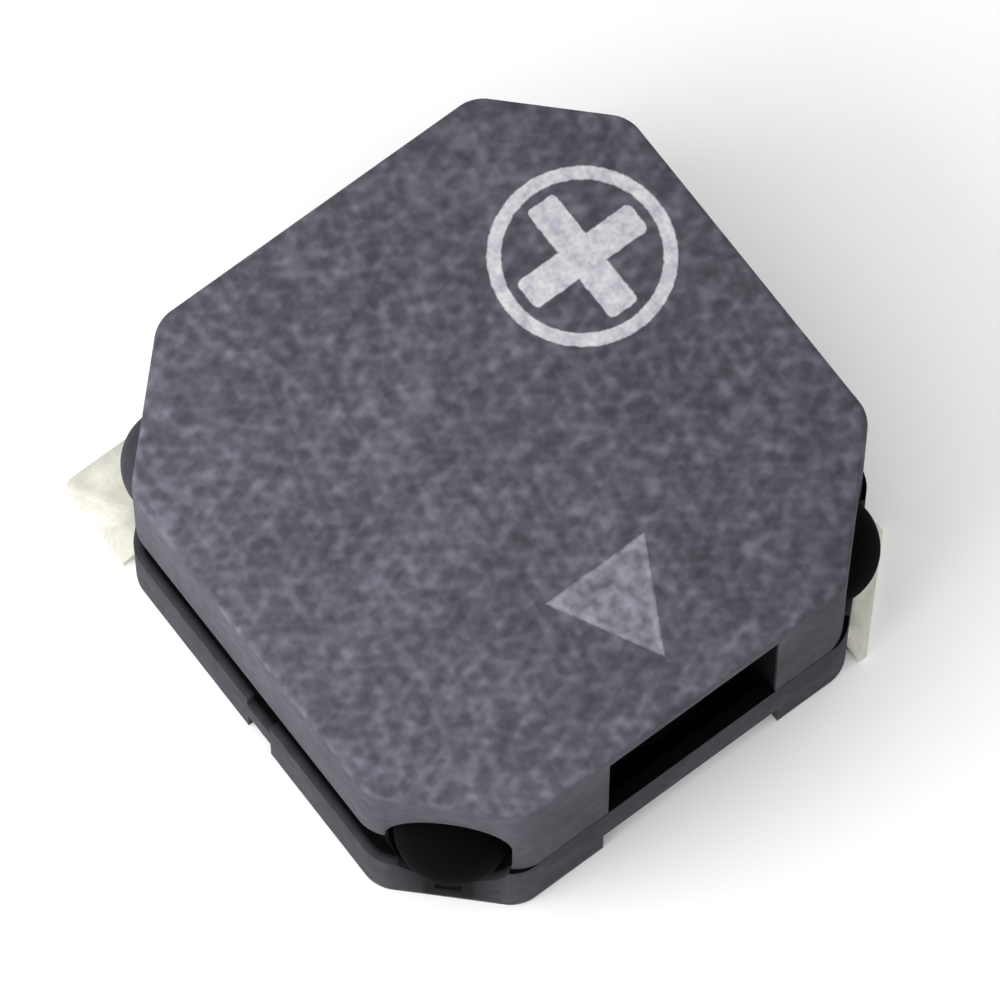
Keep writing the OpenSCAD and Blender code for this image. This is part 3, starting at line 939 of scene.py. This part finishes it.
make_cover(moulded_plastic("cover_moulding", dark=0.049, light=0.164, lighting=cover_painted_shade,
                           level=TOP, gloss=0.06, marked=True))
make_base(moulded_plastic("base_moulding", dark=0.03, light=0.115, lighting=base_painted_shade,
                          level=UNDERSIDE, gloss=0.06))
tin = tinned_sheet()
make_terminal("terminal_plus", tin, 1)
make_terminal("terminal_minus", tin, -1)
make_spare_pad("spare_pad_right", tin, 1, BASE_SIDE_CUT, RIGHT_TRIM)
make_spare_pad("spare_pad_left", tin, -1, BASE_CUT, LEFT_TRIM)
copper = enamelled_copper()
make_coil(copper)
solder = rough_solder()
make_solder("solder_joint_plus", solder, 1)
make_solder("solder_joint_minus", solder, -1)

iron = turned_metal("soft_iron", level=0.5, roughness=0.38)
plain_parts = {
    "yoke_plate": iron, "pole_core": iron, "armature_disc": iron,
    "diaphragm": turned_metal("rolled_foil", level=0.62, roughness=0.25),
    "coil_lead_plus": copper, "coil_lead_minus": copper,
    "ring_magnet": sintered_magnet(), "support_ring": ring_moulding()}
for node, material in plain_parts.items():
    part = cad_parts[node]
    part.data.materials.clear()
    part.data.materials.append(material)


# =====================================================================
# Studio
# =====================================================================

SKY = 0.8               # strength of the plain white surroundings
FLOOR_SIDE = 0.9


def pale_floor():
    f = Finish("pale_floor")
    clouds = f.noise(0.05, detail=3.0)
    return f.surface(
        f.tones(dark=0.92, pale=0.96, share=clouds),
        roughness=0.75, relief=f.noise(2.0) * 0.002)


bpy.ops.object.select_all(action="DESELECT")
bpy.ops.mesh.primitive_plane_add(size=FLOOR_SIDE, location=(0, 0, cad_box[0].z))
floor = bpy.context.object
floor.name = "floor"
floor.data.materials.append(pale_floor())

world = bpy.data.worlds.new("studio")
bpy.context.scene.world = world
world.use_nodes = True
world.node_tree.nodes["Background"].inputs["Color"].default_value = (1.0, 1.0, 1.0, 1.0)
world.node_tree.nodes["Background"].inputs["Strength"].default_value = SKY


def direction(azimuth, elevation):
    """Towards a viewpoint. Azimuth 0 is in front of the port's side, and 90 beside +X."""
    a, e = math.radians(azimuth), math.radians(elevation)
    return Vector((math.sin(a) * math.cos(e), -math.cos(a) * math.cos(e), math.sin(e)))


def stand(name, data, middle, towards, distance):
    """Stands a lamp or a camera at this distance from the middle, looking back at it."""
    thing = bpy.data.objects.new(name, data)
    thing.location = middle + towards * distance
    thing.rotation_mode = "QUATERNION"
    thing.rotation_quaternion = towards.to_track_quat("Z", "Y")
    bpy.context.scene.collection.objects.link(thing)
    return thing


def soft_light(name, azimuth, elevation, distance, size, power):
    """A square soft box that looks at the buzzer."""
    data = bpy.data.lights.new(name, "AREA")
    data.size = size
    data.energy = power
    stand(name, data, Vector((0, 0, 0)), direction(azimuth, elevation), distance)


soft_light("key_light", azimuth=-98, elevation=30, distance=0.035, size=0.035, power=0.0135)
soft_light("top_light", azimuth=-90, elevation=78, distance=0.1, size=0.09, power=0.02)

# ---- camera: a long lens above the near left corner ----
VIEW_AZIMUTH, VIEW_ELEVATION = -37.1, 71.9
VIEW_WIDTH = 0.0134
camera_data = bpy.data.cameras.new("camera")
camera_data.lens = 400
camera_data.sensor_width = 36
camera_data.clip_start = 0.001
camera_data.clip_end = 2.0
bpy.context.scene.camera = stand(
    "camera", camera_data, (cad_box[0] + cad_box[1]) / 2,
    direction(VIEW_AZIMUTH, VIEW_ELEVATION),
    VIEW_WIDTH * camera_data.lens / camera_data.sensor_width)
bpy.context.scene.view_settings.view_transform = "Standard"
